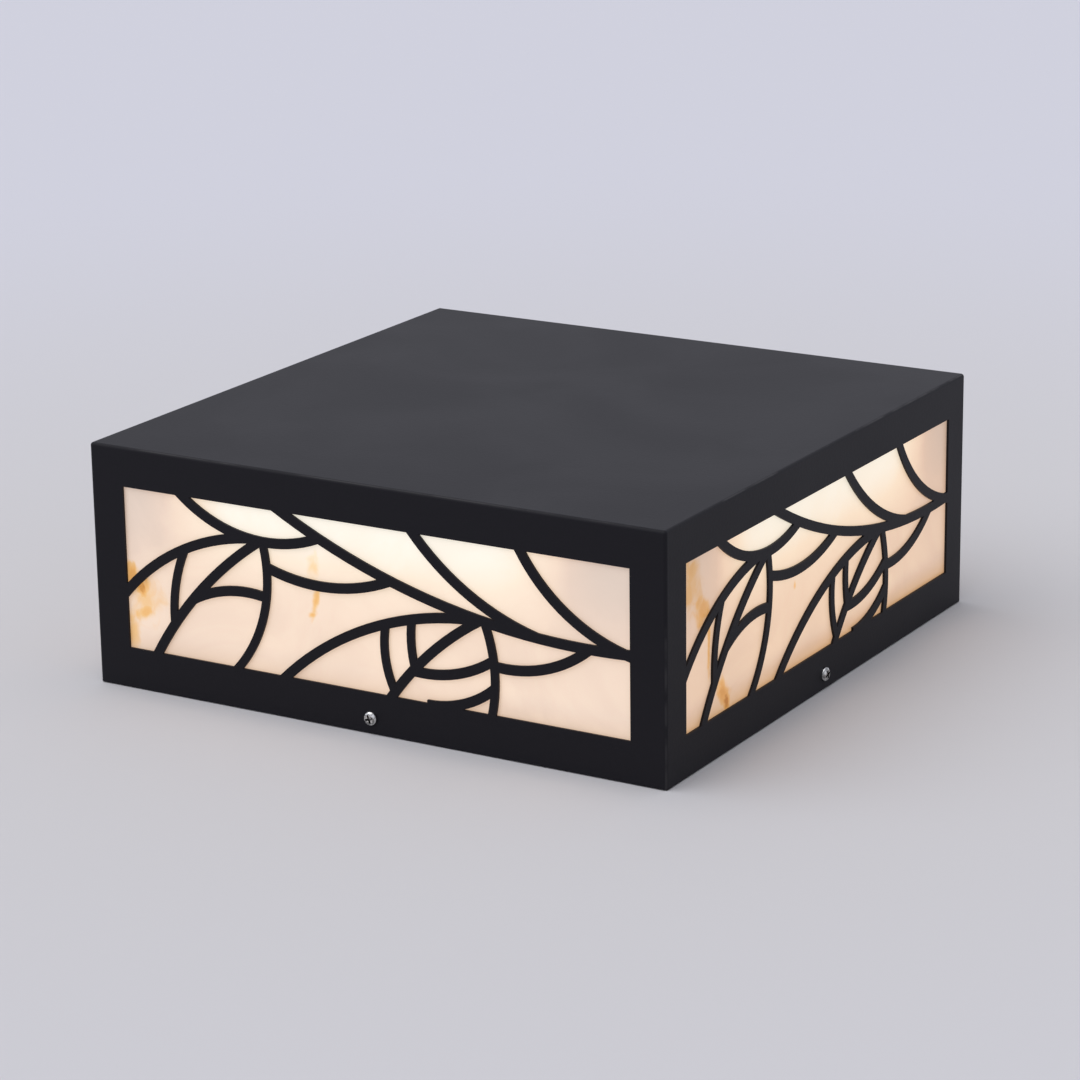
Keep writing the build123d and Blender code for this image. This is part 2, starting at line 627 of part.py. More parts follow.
with BuildPart() as bulb_cap:
    thread_low = TIP_Z + THREAD_START
    cap_top = TIP_Z + CAP_HEIGHT
    crest = THREAD_CREST_DIAMETER / 2
    root = THREAD_ROOT_DIAMETER / 2
    pitch_radius = (crest + root) / 2
    with BuildSketch(Plane.XZ):
        with BuildLine():
            Line((0, thread_low), (pitch_radius, thread_low))
            for turn in range(THREAD_TURNS):
                turn_low = thread_low + turn * THREAD_PITCH
                turn_middle = turn_low + THREAD_PITCH / 2
                turn_high = turn_low + THREAD_PITCH
                ThreePointArc(
                    (pitch_radius, turn_low),
                    (crest, (turn_low + turn_middle) / 2),
                    (pitch_radius, turn_middle),
                )
                ThreePointArc(
                    (pitch_radius, turn_middle),
                    (root, (turn_middle + turn_high) / 2),
                    (pitch_radius, turn_high),
                )
            Polyline(
                (pitch_radius, turn_high),
                (crest, turn_high + THREAD_PITCH / 4),
                (crest, cap_top),
                (CAP_BORE_DIAMETER / 2, cap_top),
                (CAP_BORE_DIAMETER / 2, thread_low + CAP_WALL),
                (0, thread_low + CAP_WALL),
                (0, thread_low),
            )
        make_face()
    revolve(axis=Axis.Z)
save(bulb_cap.part, "bulb_cap")

with BuildPart() as bulb_housing:
    neck = NECK_DIAMETER / 2
    deck = SEAT_Z - BULB_WALL
    with BuildSketch(Plane.XZ):
        with BuildLine():
            Polyline(
                (neck, cap_top),
                (SEAT_RADIUS, SEAT_Z),
                (0, SEAT_Z),
                (0, deck),
                (SEAT_RADIUS - 2 * BULB_WALL, deck),
                (neck - BULB_WALL, cap_top),
                close=True,
            )
        make_face()
    revolve(axis=Axis.Z)
save(bulb_housing.part, "bulb_housing")

with BuildPart() as bulb_globe:
    globe_top = GLOBE_CENTRE + GLOBE_RADIUS
    with BuildSketch(Plane.XZ):
        with BuildLine():
            for radius in (GLOBE_RADIUS, GLOBE_INNER):
                seat_angle = degrees(asin((SEAT_Z - GLOBE_CENTRE) / radius))
                CenterArc((0, GLOBE_CENTRE), radius, seat_angle, 90 - seat_angle)
            Line((0, globe_top), (0, globe_top - BULB_WALL))
            Line((SEAT_INNER, SEAT_Z), (SEAT_RADIUS, SEAT_Z))
        make_face()
    revolve(axis=Axis.Z)
save(bulb_globe.part, "bulb_globe")

with BuildPart() as led_board:
    with Locations((0, 0, SEAT_Z)):
        Cylinder(SEAT_INNER - LED_BOARD_GAP, LED_BOARD_THICKNESS, align=ON_BASE)
save(led_board.part, "led_board")

with BuildPart() as led_chips:
    with Locations((0, 0, SEAT_Z + LED_BOARD_THICKNESS)):
        with PolarLocations(LED_CIRCLE_DIAMETER / 2, LED_COUNT):
            Box(*LED_SIZE, align=ON_BASE)
save(led_chips.part, "led_chips")

# Terminal block with its barrels and screws

barrel_points = [(BLOCK_CENTRE[0], BLOCK_CENTRE[1] + y, BARREL_Z) for y in POLES]
terminal_screw_points = [
    (x + side * TERMINAL_SCREW_SPREAD, y) for x, y, z in barrel_points for side in (-1, 1)
]
terminal_screw_low = BARREL_Z + LEAD_DIAMETER / 2
terminal_screw_hole = TERMINAL_SCREW_DIAMETER / 2 + PIN_CLEARANCE
with BuildPart() as terminal_block:
    with Locations((*BLOCK_CENTRE, BASE_TOP)):
        Box(BLOCK_LENGTH, 2 * (BLOCK_POLE_PITCH + BLOCK_END), BLOCK_BASE_HEIGHT, align=ON_BASE)
    with Locations(*((x, y, BASE_TOP) for x, y, z in barrel_points)):
        Box(TOWER_LENGTH, TOWER_WIDTH, BLOCK_HEIGHT, align=ON_BASE)
    chamfer(terminal_block.edges().group_by(Axis.Z)[-1], TOWER_CHAMFER)
    with Locations(*barrel_points):
        Cylinder(
            BARREL_DIAMETER / 2 + PIN_CLEARANCE, BLOCK_LENGTH, rotation=(0, 90, 0), mode=Mode.SUBTRACT
        )
    with Locations(*((x, y, BARREL_Z) for x, y in terminal_screw_points)):
        Cylinder(terminal_screw_hole, BLOCK_HEIGHT, align=ON_BASE, mode=Mode.SUBTRACT)
    with Locations(*((x, y, BASE_TOP) for x, y in fixing_points)):
        Cylinder(
            SMALL_SCREW_DIAMETER / 2 + PIN_CLEARANCE, BLOCK_BASE_HEIGHT, align=ON_BASE, mode=Mode.SUBTRACT
        )
save(terminal_block.part, "terminal_block")

with BuildPart() as terminal_barrels:
    with Locations(*barrel_points):
        Cylinder(BARREL_DIAMETER / 2, TOWER_LENGTH, rotation=(0, 90, 0))
        Cylinder(
            LEAD_DIAMETER / 2 + PIN_CLEARANCE, TOWER_LENGTH, rotation=(0, 90, 0), mode=Mode.SUBTRACT
        )
    with Locations(*((x, y, BARREL_Z) for x, y in terminal_screw_points)):
        Cylinder(terminal_screw_hole, BARREL_DIAMETER, align=ON_BASE, mode=Mode.SUBTRACT)
save(terminal_barrels.part, "terminal_barrels")

with BuildPart() as terminal_screws:
    screw_top = BLOCK_TOP - TERMINAL_SCREW_RECESS
    with Locations(*((x, y, terminal_screw_low) for x, y in terminal_screw_points)):
        Cylinder(TERMINAL_SCREW_DIAMETER / 2, screw_top - terminal_screw_low, align=ON_BASE)
    with Locations(*((x, y, screw_top) for x, y in terminal_screw_points)):
        Box(TERMINAL_SCREW_DIAMETER, TERMINAL_SLOT_WIDTH, 2 * TERMINAL_SLOT_DEPTH, mode=Mode.SUBTRACT)
save(terminal_screws.part, "terminal_screws")

block_fixing = pan_screw(SMALL_SCREW_DIAMETER, FIXING_LENGTH, SMALL_HEAD_DIAMETER, SMALL_HEAD_HEIGHT)
with BuildPart() as terminal_fixings:
    with Locations(*((x, y, BASE_TOP + BLOCK_BASE_HEIGHT) for x, y in fixing_points)):
        add(block_fixing)
save(terminal_fixings.part, "terminal_fixings")

# Leads from the terminal block to the lamp holder and to the earth stud


def lead(points):
    """A round lead whose corners take the largest arcs that their runs allow."""
    corners = [Vector(point) for point in points]
    runs = [end - start for start, end in zip(corners, corners[1:])]
    radii = []
    for before, after in zip(runs, runs[1:]):
        half_turn = radians(before.get_angle(after)) / 2
        radii.append(LEAD_RADIUS_SHARE * min(before.length, after.length) / tan(half_turn))
    with BuildPart() as wire:
        with BuildLine() as route:
            FilletPolyline(*corners, radius=radii)
        with BuildSketch(Plane(corners[0], z_dir=runs[0])):
            Circle(LEAD_DIAMETER / 2)
        sweep(path=route.wires()[0])
    return wire.part


lead_start = BLOCK_CENTRE[0] + LEAD_END_INSET
lead_exit = BLOCK_CENTRE[0] + BLOCK_LENGTH / 2
lead_end = HOLDER_BOTTOM + LEAD_HOLE_DEPTH - PIN_CLEARANCE
for name, pole, (hole_x, hole_y) in zip(("live_lead", "neutral_lead"), POLES, lead_holes):
    pole_y = BLOCK_CENTRE[1] + pole
    route = [
        (lead_start, pole_y, BARREL_Z),
        (lead_exit + LEAD_STRAIGHT, pole_y, BARREL_Z),
        (lead_exit + LEAD_STRAIGHT + LEAD_FALL, (pole_y + hole_y) / 2 + LEAD_DRIFT, LEAD_HEIGHT),
        (hole_x, hole_y, LEAD_HEIGHT),
        (hole_x, hole_y, lead_end),
    ]
    save(lead(route), name)

tag_barrel_z = BASE_TOP + TAG_BARREL_DIAMETER / 2
earth_pole_y = BLOCK_CENTRE[1] + POLES[2]
tag_wire_y = EARTH_STUD[1] - TAG_BARREL_START - TAG_BARREL_LENGTH / 2
earth_route = [
    (lead_start, earth_pole_y, BARREL_Z),
    (lead_exit + EARTH_STRAIGHT, earth_pole_y, BARREL_Z),
    (EARTH_STUD[0], earth_pole_y + EARTH_SWING, tag_barrel_z + LEAD_DRIFT),
    (EARTH_STUD[0], tag_wire_y, tag_barrel_z),
]
save(lead(earth_route), "earth_lead")

with BuildPart() as earth_tag:
    with Locations((*EARTH_STUD, BASE_TOP)):
        Cylinder(TAG_DIAMETER / 2, TAG_SHEET, align=ON_BASE)
        Cylinder(STUD_DIAMETER / 2 + PIN_CLEARANCE, TAG_SHEET, align=ON_BASE, mode=Mode.SUBTRACT)
    with Locations((EARTH_STUD[0], EARTH_STUD[1] - TAG_DIAMETER / 2, BASE_TOP)):
        Box(TAG_BARREL_DIAMETER / 2, TAG_NECK_LENGTH, TAG_SHEET, align=ON_BASE)
    with Locations((EARTH_STUD[0], tag_wire_y, tag_barrel_z)):
        Cylinder(TAG_BARREL_DIAMETER / 2, TAG_BARREL_LENGTH, rotation=(90, 0, 0))
        Cylinder(
            LEAD_DIAMETER / 2 + PIN_CLEARANCE, TAG_BARREL_LENGTH, rotation=(90, 0, 0), mode=Mode.SUBTRACT
        )
save(earth_tag.part, "earth_tag")

with BuildPart() as earth_stud:
    with Locations((*EARTH_STUD, BASE_TOP)):
        Cylinder(STUD_DIAMETER / 2, STUD_LENGTH, align=ON_BASE)
save(earth_stud.part, "earth_stud")

with BuildPart() as earth_nut:
    with Locations((*EARTH_STUD, BASE_TOP + TAG_SHEET)):
        add(stud_nut)
save(earth_nut.part, "earth_nut")
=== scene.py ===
import json
from math import radians

import bpy
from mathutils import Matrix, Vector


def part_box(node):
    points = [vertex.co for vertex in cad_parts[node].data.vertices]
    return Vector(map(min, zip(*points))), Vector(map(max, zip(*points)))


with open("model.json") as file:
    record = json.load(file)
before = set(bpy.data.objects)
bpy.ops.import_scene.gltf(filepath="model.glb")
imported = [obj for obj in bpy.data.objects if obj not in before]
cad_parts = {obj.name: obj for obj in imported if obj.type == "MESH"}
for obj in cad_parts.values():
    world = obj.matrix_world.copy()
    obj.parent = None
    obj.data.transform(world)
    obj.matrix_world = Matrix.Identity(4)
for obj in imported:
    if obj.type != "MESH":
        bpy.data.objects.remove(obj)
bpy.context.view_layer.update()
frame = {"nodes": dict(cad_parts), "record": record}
nodes = frame["nodes"]

# Camera: place, angles and lens of the photograph
CAMERA_PLACE = (1.1493, -1.9245, 0.7480)
CAMERA_ANGLES = (73.094, 0.763, 30.637)
CAMERA_LENS = 123.35
CAMERA_SENSOR = 36.0

# Studio: a floor that turns from one colour to another between two distances, the surrounding light,
# and one broad soft light from above
FLOOR_REACH = 14.0
FLOOR_HEIGHT = -0.0002
FLOOR_CORNERS = ((-1, -1), (1, -1), (1, 1), (-1, 1))
FLOOR_NEAR = (0.62, 0.615, 0.645)
FLOOR_FAR = (0.65, 0.655, 0.735)
FLOOR_TURN = (0.3, 1.6)
WORLD_SEEN = (0.79, 0.80, 0.88)
WORLD_LIGHT = (0.60, 0.60, 0.62)
KEY_FROM = (-0.9, -1.1, 2.3)
KEY_SPREAD = 70.0
KEY_STRENGTH = 1.35

# The part of its range that most of a noise lies in
NOISE_RANGE = (0.3, 0.7)

# Housing coat: its two tones and its roughness, then the lighter tone of rubbed edges, which is wear and
# also a painted highlight along the edges, how much smoother they are, and the distances from an edge over
# which both die away
COAT_DARK = (0.0042, 0.0038, 0.0062)
COAT_PALE = (0.0068, 0.0062, 0.0098)
COAT_ROUGHNESS = (0.51, 0.545)
RUBBED_HIGHLIGHT_TONE = (0.024, 0.023, 0.026)
RUBBED_SMOOTHER = 0.16
RUBBED_HIGHLIGHT_WIDTH = (0.0004, 0.0009)

# Turn of each side about +Z, and the distance of its panel from the middle
SIDES = {"front": 0, "right": 90, "back": 180, "left": 270}
PANEL_DISTANCE = -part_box("front_diffuser")[0][1]

# Glow of every panel: heights over which the bright band sets in, distances from its centre over which it
# dies away, its glow at the centre and at the ends, and the plain glow below it
BAND_HEIGHTS = (0.066, 0.128)
BAND_REACH = (0.085, 0.172)
BAND_GLOW = (0.53, -0.30)
PLAIN_GLOW = 0.47

# Distances from the centre over which a panel's ends fade, and heights over which its foot comes up to the
# plain glow and loses its amber, which is painted shade of the frame's sill
END_REACH = (0.06, 0.17)
FOOT_HEIGHTS = (0.022, 0.046)
FOOT_SHADE_HEIGHTS = (0.016, 0.040)

# Colours of the panels' light from dim to bright, and of their amber marks and painted foot shade from none
# to the darkest
LIGHT_COLOURS = [
    (0.00, (0.30, 0.22, 0.17)),
    (0.34, (0.415, 0.275, 0.19)),
    (0.47, (0.535, 0.37, 0.25)),
    (0.75, (0.61, 0.475, 0.335)),
    (1.00, (0.615, 0.58, 0.49)),
]
AMBER_COLOURS = [
    (0.00, (1.0, 1.0, 1.0)),
    (0.35, (0.97, 0.77, 0.43)),
    (0.70, (0.92, 0.62, 0.23)),
    (1.00, (0.66, 0.35, 0.07)),
]

# Each panel's milk tone, darker and warmer as painted shade on a side where less light falls, its strength
# of glow, where along it the glow is centred, how far the glow fades to its two ends, the glow that is left
# at its foot, and how amber its foot is as painted shade of the frame's sill
PANEL_TONES = {
    "front": ((0.56, 0.515, 0.465), 1.0, -0.006, 0.05, 0.35, 0.10),
    "right": ((0.48, 0.375, 0.29), 1.1, 0.004, 0.08, 0.25, 0.40),
    "back": ((0.53, 0.46, 0.39), 1.03, 0.003, 0.06, 0.30, 0.20),
    "left": ((0.52, 0.45, 0.38), 1.05, -0.003, 0.06, 0.30, 0.20),
}

# Amber marks on each panel as (across, height, half length, half width, lean, strength)
VEINS = {
    "front": [
        (-0.1735, 0.0730, 0.0070, 0.0050, 0, 0.80),
        (-0.1655, 0.0665, 0.0065, 0.0055, 20, 1.00),
        (-0.1640, 0.0600, 0.0130, 0.0130, 0, 0.30),
        (-0.1650, 0.0495, 0.0095, 0.0045, 70, 0.55),
        (-0.1750, 0.0370, 0.0120, 0.0050, 0, 0.35),
        (-0.0385, 0.0755, 0.0105, 0.0024, 14, 0.60),
        (-0.0412, 0.0675, 0.0030, 0.0020, 75, 0.60),
        (-0.0385, 0.0980, 0.0080, 0.0045, 10, 0.25),
    ],
    "right": [
        (-0.1675, 0.1225, 0.0090, 0.0070, 30, 0.45),
        (-0.1700, 0.1065, 0.0110, 0.0050, 0, 0.40),
        (-0.1620, 0.1090, 0.0130, 0.0070, -35, 0.30),
        (-0.1540, 0.0940, 0.0120, 0.0075, -40, 0.60),
        # A thin amber streak that runs beside a bar of the grille
        (-0.1457, 0.0720, 0.0170, 0.0018, 0, 0.60),
        (-0.1280, 0.0385, 0.0100, 0.0060, -40, 0.75),
        (-0.1235, 0.0305, 0.0070, 0.0040, -15, 1.00),
        (-0.0370, 0.0765, 0.0024, 0.0016, 0, 0.40),
    ],
    "back": [
        (0.1200, 0.0920, 0.0150, 0.0070, 40, 0.70),
        (0.1160, 0.0890, 0.0060, 0.0040, 20, 0.95),
        (0.0980, 0.0700, 0.0120, 0.0040, 20, 0.50),
        (-0.0960, 0.0550, 0.0110, 0.0026, -12, 0.55),
        (-0.1700, 0.0360, 0.0130, 0.0060, 10, 0.35),
    ],
    "left": [
        (-0.0600, 0.1040, 0.0140, 0.0060, -40, 0.55),
        (0.1500, 0.0520, 0.0130, 0.0070, 25, 0.70),
        (0.1460, 0.0490, 0.0060, 0.0035, 10, 0.95),
        (0.1350, 0.0780, 0.0110, 0.0030, 5, 0.50),
    ],
}

# How far out a mark fades, in half sizes, and a depth at which its place through the panel doesn't count
VEIN_FADE = 1.5
VEIN_DEPTH = 1000.0

# Side screws: depths below the crown over which painted shade darkens the cross recess, and distances from
# the middle over which the painted shade sets in and ends
RECESS_DEPTH = (0.0002, 0.0007)
RECESS_CORE = (0.0003, 0.0012)
RECESS_END = (0.0030, 0.0034)

# Lamp: heights over which the globe's glow rises, and its colours from low to high
GLOBE_HEIGHTS = (0.092, 0.141)
GLOBE_COLOURS = [
    (0.0, (0.72, 0.58, 0.42)),
    (0.5, (0.91, 0.81, 0.66)),
    (1.0, (0.96, 0.89, 0.76)),
]


class Tree:
    """One material's nodes, with a short call for each kind that the materials share."""

    def __init__(self, name):
        self.material = bpy.data.materials.new(name)
        self.material.use_nodes = True
        self.nodes = self.material.node_tree.nodes
        self.links = self.material.node_tree.links
        self.surface = self.nodes["Principled BSDF"]

    def feed(self, socket, value):
        """Link another node's output to a socket, or set the socket's own value."""
        if isinstance(value, bpy.types.NodeSocket):
            self.links.new(value, socket)
        elif isinstance(value, tuple) and len(value) == 3 and len(socket.default_value) == 4:
            socket.default_value = (*value, 1.0)
        else:
            socket.default_value = value

    def add(self, kind, inputs, **settings):
        """A new node with these settings, and these inputs by name or number."""
        node = self.nodes.new(kind)
        for name, value in settings.items():
            setattr(node, name, value)
        for name, value in inputs.items():
            self.feed(node.inputs[name], value)
        return node

    def set(self, **inputs):
        """Inputs of the surface shader, with underscores for the spaces in their names."""
        for name, value in inputs.items():
            self.feed(self.surface.inputs[name.replace("_", " ")], value)

    def place(self):
        """The point's place in the row frame at rest."""
        return self.add("ShaderNodeTexCoord", {}).outputs["Object"]

    def turned(self, vector, degrees):
        """A place turned back about +Z, so that every side reads as the front does."""
        inputs = {"Vector": vector, "Rotation": (0, 0, -radians(degrees))}
        return self.add("ShaderNodeMapping", inputs).outputs["Vector"]

    def along(self, vector):
        """A vector's three parts, by the names X, Y and Z."""
        return self.add("ShaderNodeSeparateXYZ", {"Vector": vector}).outputs

    def length(self, vector):
        return self.add("ShaderNodeVectorMath", {0: vector}, operation="LENGTH").outputs["Value"]

    def noise(self, vector, scale, detail=3.0, roughness=0.5, distortion=0.0, output="Fac"):
        inputs = {
            "Vector": vector,
            "Scale": scale,
            "Detail": detail,
            "Roughness": roughness,
            "Distortion": distortion,
        }
        return self.add("ShaderNodeTexNoise", inputs).outputs[output]

    def cells(self, vector, scale, output):
        return self.add("ShaderNodeTexVoronoi", {"Vector": vector, "Scale": scale}).outputs[output]

    def span(self, value, low, high, to_low=0.0, to_high=1.0):
        """A value eased from one range to another, and held at its ends."""
        inputs = {"Value": value, "From Min": low, "From Max": high, "To Min": to_low, "To Max": to_high}
        return self.add("ShaderNodeMapRange", inputs, interpolation_type="SMOOTHSTEP").outputs["Result"]

    def spread(self, noise, to_low, to_high):
        """A noise eased over the part of its range that most of it lies in."""
        return self.span(noise, *NOISE_RANGE, to_low, to_high)

    def math(self, operation, first, second=0.0):
        inputs = {0: first, 1: second}
        return self.add("ShaderNodeMath", inputs, operation=operation).outputs["Value"]

    def mix(self, factor, first, second, blend="MIX"):
        node = self.add("ShaderNodeMix", {}, data_type="RGBA", blend_type=blend)
        self.feed(node.inputs["Factor"], factor)
        self.feed(node.inputs[6], first)
        self.feed(node.inputs[7], second)
        return node.outputs[2]

    def multiply(self, first, second):
        """Two colours multiplied."""
        return self.mix(1.0, first, second, "MULTIPLY")

    def ramp(self, value, stops):
        """A colour ramp through (position, colour) stops."""
        node = self.add("ShaderNodeValToRGB", {"Fac": value})
        points = node.color_ramp.elements
        while len(points) < len(stops):
            points.new(1.0)
        for point, (position, colour) in zip(points, stops):
            point.position = position
            point.color = (*colour, 1.0)
        return node.outputs["Color"]

    def bump(self, height, distance, strength, normal=None):
        inputs = {"Height": height, "Distance": distance, "Strength": strength}
        if normal is not None:
            inputs["Normal"] = normal
        return self.add("ShaderNodeBump", inputs).outputs["Normal"]


# Housing coat


def edge_distance(tree, place):
    """How far a point of the housing is from its nearest top or upright edge."""
    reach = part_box("top_panel")[1]
    along = tree.along(place)
    gaps = []
    for end, axis in zip(reach, "XYZ"):
        gaps.append(tree.math("SUBTRACT", end, tree.math("ABSOLUTE", along[axis])))
    edges = [tree.math("MAXIMUM", gaps[k], gaps[k - 1]) for k in range(3)]
    return tree.math("MINIMUM", edges[0], tree.math("MINIMUM", edges[1], edges[2]))


def black_coat():
    """Matte black powder coat: grain on a slight orange peel, faint wiped patches, and edges painted lighter
    as wear and as a highlight.
    """
    tree = Tree("black_coat")
    place = tree.place()
    handled = tree.noise(place, scale=32.0, detail=4.0)
    # Edges painted lighter, as wear and as a painted highlight along the edges
    rubbed_highlight = tree.math(
        "MULTIPLY",
        tree.span(edge_distance(tree, place), *RUBBED_HIGHLIGHT_WIDTH, 1.0, 0.0),
        tree.span(handled, 0.44, 0.62),
    )
    patches = tree.noise(place, scale=9.0, detail=4.0, distortion=0.6)
    grain = tree.noise(place, scale=1500.0, detail=2.0)
    peel = tree.noise(place, scale=420.0, detail=2.0)
    peeled = tree.bump(peel, distance=0.00012, strength=0.5)
    dull = tree.spread(patches, *COAT_ROUGHNESS)
    tree.set(
        Base_Color=tree.mix(rubbed_highlight, tree.mix(grain, COAT_DARK, COAT_PALE), RUBBED_HIGHLIGHT_TONE),
        Roughness=tree.math("SUBTRACT", dull, tree.math("MULTIPLY", rubbed_highlight, RUBBED_SMOOTHER)),
        Specular_IOR_Level=0.175,
        Normal=tree.bump(grain, distance=0.00006, strength=0.6, normal=peeled),
    )
    return tree.material


# Marble-effect panels


def vein(tree, place, feather, mark):
    """One soft amber mark on a panel, with a feathered outline."""
    across, height, half_length, half_width, lean, strength = mark
    inputs = {
        "Vector": place,
        "Location": (across, -PANEL_DISTANCE, height),
        "Rotation": (0, radians(lean), 0),
        "Scale": (half_width, VEIN_DEPTH, half_length),
    }
    local = tree.add("ShaderNodeMapping", inputs, vector_type="TEXTURE").outputs["Vector"]
    return tree.span(tree.math("ADD", tree.length(local), feather), 0.0, VEIN_FADE, strength, 0.0)


def panel_light(tree, along, clouds, side):
    """Light through a panel: a bright band at the top middle, dimmer at the two ends and at the foot."""
    centre, end_fade, foot_glow = PANEL_TONES[side][2:5]
    off_centre = tree.math("ABSOLUTE", tree.math("SUBTRACT", along["X"], centre))
    band = tree.math(
        "MULTIPLY",
        tree.span(along["Z"], *BAND_HEIGHTS),
        tree.span(off_centre, *BAND_REACH, *BAND_GLOW),
    )
    foot = tree.span(along["Z"], *FOOT_HEIGHTS, foot_glow, PLAIN_GLOW)
    ends = tree.span(off_centre, *END_REACH, 0.0, -end_fade)
    uneven = tree.spread(clouds, -0.03, 0.03)
    glow = tree.math("ADD", tree.math("ADD", band, foot), tree.math("ADD", ends, uneven))
    return tree.ramp(glow, LIGHT_COLOURS)


def panel_amber(tree, place, along, side):
    """Tint of a panel's amber marks, and of the even amber along its foot, which is painted shade of the
    frame's sill.
    """
    foot_shade_amber = PANEL_TONES[side][5]
    strands = tree.add("ShaderNodeMapping", {"Vector": place, "Scale": (1.0, 1.0, 0.75)}).outputs["Vector"]
    torn = tree.noise(strands, scale=110.0, distortion=0.6)
    feather = tree.span(torn, 0.25, 0.75, -0.45, 0.45)
    # Painted shade: even amber towards the foot, standing in for the shade of the frame's sill
    amber = tree.span(along["Z"], *FOOT_SHADE_HEIGHTS, foot_shade_amber, 0.0)
    for mark in VEINS[side]:
        amber = tree.math("MAXIMUM", vein(tree, place, feather, mark), amber)
    return tree.ramp(amber, AMBER_COLOURS)


def marble_panel(side, turn):
    """Marble-effect sheet lit from behind, with a few amber marks, painted shade at its foot and a milk tone
    shaded per side.
    """
    milk_tone_and_side_shade, strength = PANEL_TONES[side][:2]
    tree = Tree(f"marble_{side}")
    place = tree.turned(tree.place(), turn)
    along = tree.along(place)
    clouds = tree.noise(place, scale=14.0, detail=5.0, roughness=0.6, distortion=1.2)
    # Milk tone set per side, darker and warmer where less light falls: painted shade
    milk = tree.multiply(milk_tone_and_side_shade, tree.spread(clouds, 0.94, 1.0))
    amber = panel_amber(tree, place, along, side)
    tree.set(
        Base_Color=tree.multiply(milk, amber),
        Roughness=0.32,
        Emission_Color=tree.multiply(panel_light(tree, along, clouds, side), amber),
        Emission_Strength=strength,
    )
    return tree.material


# Metals


def metal(name, dark, bright, roughness, mark_scale):
    """A metal whose tone and roughness drift a little, with fine surface marks."""
    tree = Tree(name)
    place = tree.place()
    drift = tree.noise(place, scale=60.0, detail=5.0, distortion=0.8)
    marks = tree.noise(place, scale=mark_scale)
    tree.set(
        Base_Color=tree.mix(drift, dark, bright),
        Metallic=1.0,
        Roughness=tree.spread(drift, roughness * 0.85, roughness * 1.2),
        Normal=tree.bump(marks, distance=0.00004, strength=0.5),
    )
    return tree.material


def zinc_sheet():
    """Zinc-plated sheet steel with a faint spangle."""
    tree = Tree("zinc_sheet")
    place = tree.place()
    warp = {0: tree.noise(place, scale=40.0, detail=2.0, output="Color"), "Scale": 0.006}
    ragged = tree.add("ShaderNodeVectorMath", warp, operation="SCALE").outputs["Vector"]
    moved = tree.add("ShaderNodeVectorMath", {0: place, 1: ragged}, operation="ADD").outputs["Vector"]
    spangle = tree.cells(moved, scale=120.0, output="Color")
    tone = tree.add("ShaderNodeRGBToBW", {"Color": spangle}).outputs["Val"]
    fine = tree.noise(place, scale=900.0)
    tree.set(
        Base_Color=tree.mix(tone, (0.53, 0.54, 0.55), (0.59, 0.60, 0.615)),
        Metallic=1.0,
        Roughness=tree.span(tone, 0.2, 0.8, 0.40, 0.43),
        Normal=tree.bump(fine, distance=0.00004, strength=0.5),
    )
    return tree.material


def screw_recess_shade(tree, place):
    """Where painted shade darkens a side screw's head, in its cross recess."""
    lowest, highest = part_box("side_screws")
    along = tree.along(place)
    from_middle = [tree.math("ABSOLUTE", along[axis]) for axis in "XY"]
    sunk = tree.math("SUBTRACT", highest[0], tree.math("MAXIMUM", *from_middle))
    across = tree.math("MINIMUM", *from_middle)
    up = tree.math("SUBTRACT", along["Z"], (lowest[2] + highest[2]) / 2)
    radius = tree.length(tree.add("ShaderNodeCombineXYZ", {"X": across, "Y": up}).outputs["Vector"])
    within = tree.math(
        "MULTIPLY",
        tree.span(radius, *RECESS_CORE, 0.2, 1.0),
        tree.span(radius, *RECESS_END, 1.0, 0.0),
    )
    return tree.math("MULTIPLY", tree.span(sunk, *RECESS_DEPTH), within)


def screw_head():
    """Stainless steel of the side screws, mottled, with painted shade in the cross recess of each head."""
    tree = Tree("screw_head")
    place = tree.place()
    mottle = tree.noise(place, scale=600.0, detail=2.0)
    steel = tree.mix(tree.span(mottle, 0.38, 0.62), (0.24, 0.24, 0.235), (0.70, 0.70, 0.69))
    tree.set(
        # Painted shade in the cross recess of each head
        Base_Color=tree.mix(screw_recess_shade(tree, place), steel, (0.025, 0.023, 0.022)),
        Metallic=1.0,
        Roughness=tree.spread(mottle, 0.24, 0.12),
        Normal=tree.bump(mottle, distance=0.0001, strength=0.6),
    )
    return tree.material


# Plastics, rubber, foam and ceramic


def moulded(name, dark, bright, roughness):
    """A moulded surface with a fine grain and a slight drift of tone."""
    tree = Tree(name)
    place = tree.place()
    drift = tree.noise(place, scale=45.0, detail=4.0)
    grain = tree.noise(place, scale=700.0, detail=2.0)
    tree.set(
        Base_Color=tree.mix(drift, dark, bright),
        Roughness=tree.spread(grain, roughness * 0.9, roughness * 1.1),
        Normal=tree.bump(grain, distance=0.00004, strength=0.5),
    )
    return tree.material


def foam():
    """Closed-cell foam: small open pores on a dark matte face."""
    tree = Tree("foam")
    pores = tree.cells(tree.place(), scale=900.0, output="Distance")
    tone = tree.span(pores, 0.05, 0.5)
    tree.set(
        Base_Color=tree.mix(tone, (0.010, 0.010, 0.011), (0.038, 0.038, 0.040)),
        Roughness=0.92,
        Normal=tree.bump(tone, distance=0.0003, strength=0.8),
    )
    return tree.material


def ceramic():
    """White glazed porcelain with a few fine specks under the glaze."""
    tree = Tree("white_ceramic")
    place = tree.place()
    specks = tree.span(tree.noise(place, scale=800.0, detail=1.0), 0.68, 0.78)
    drift = tree.noise(place, scale=50.0)
    body = tree.mix(drift, (0.76, 0.74, 0.69), (0.82, 0.81, 0.77))
    tree.set(
        Base_Color=tree.mix(specks, body, (0.55, 0.50, 0.43)),
        Roughness=0.16,
        Normal=tree.bump(drift, distance=0.0003, strength=0.4),
    )
    return tree.material


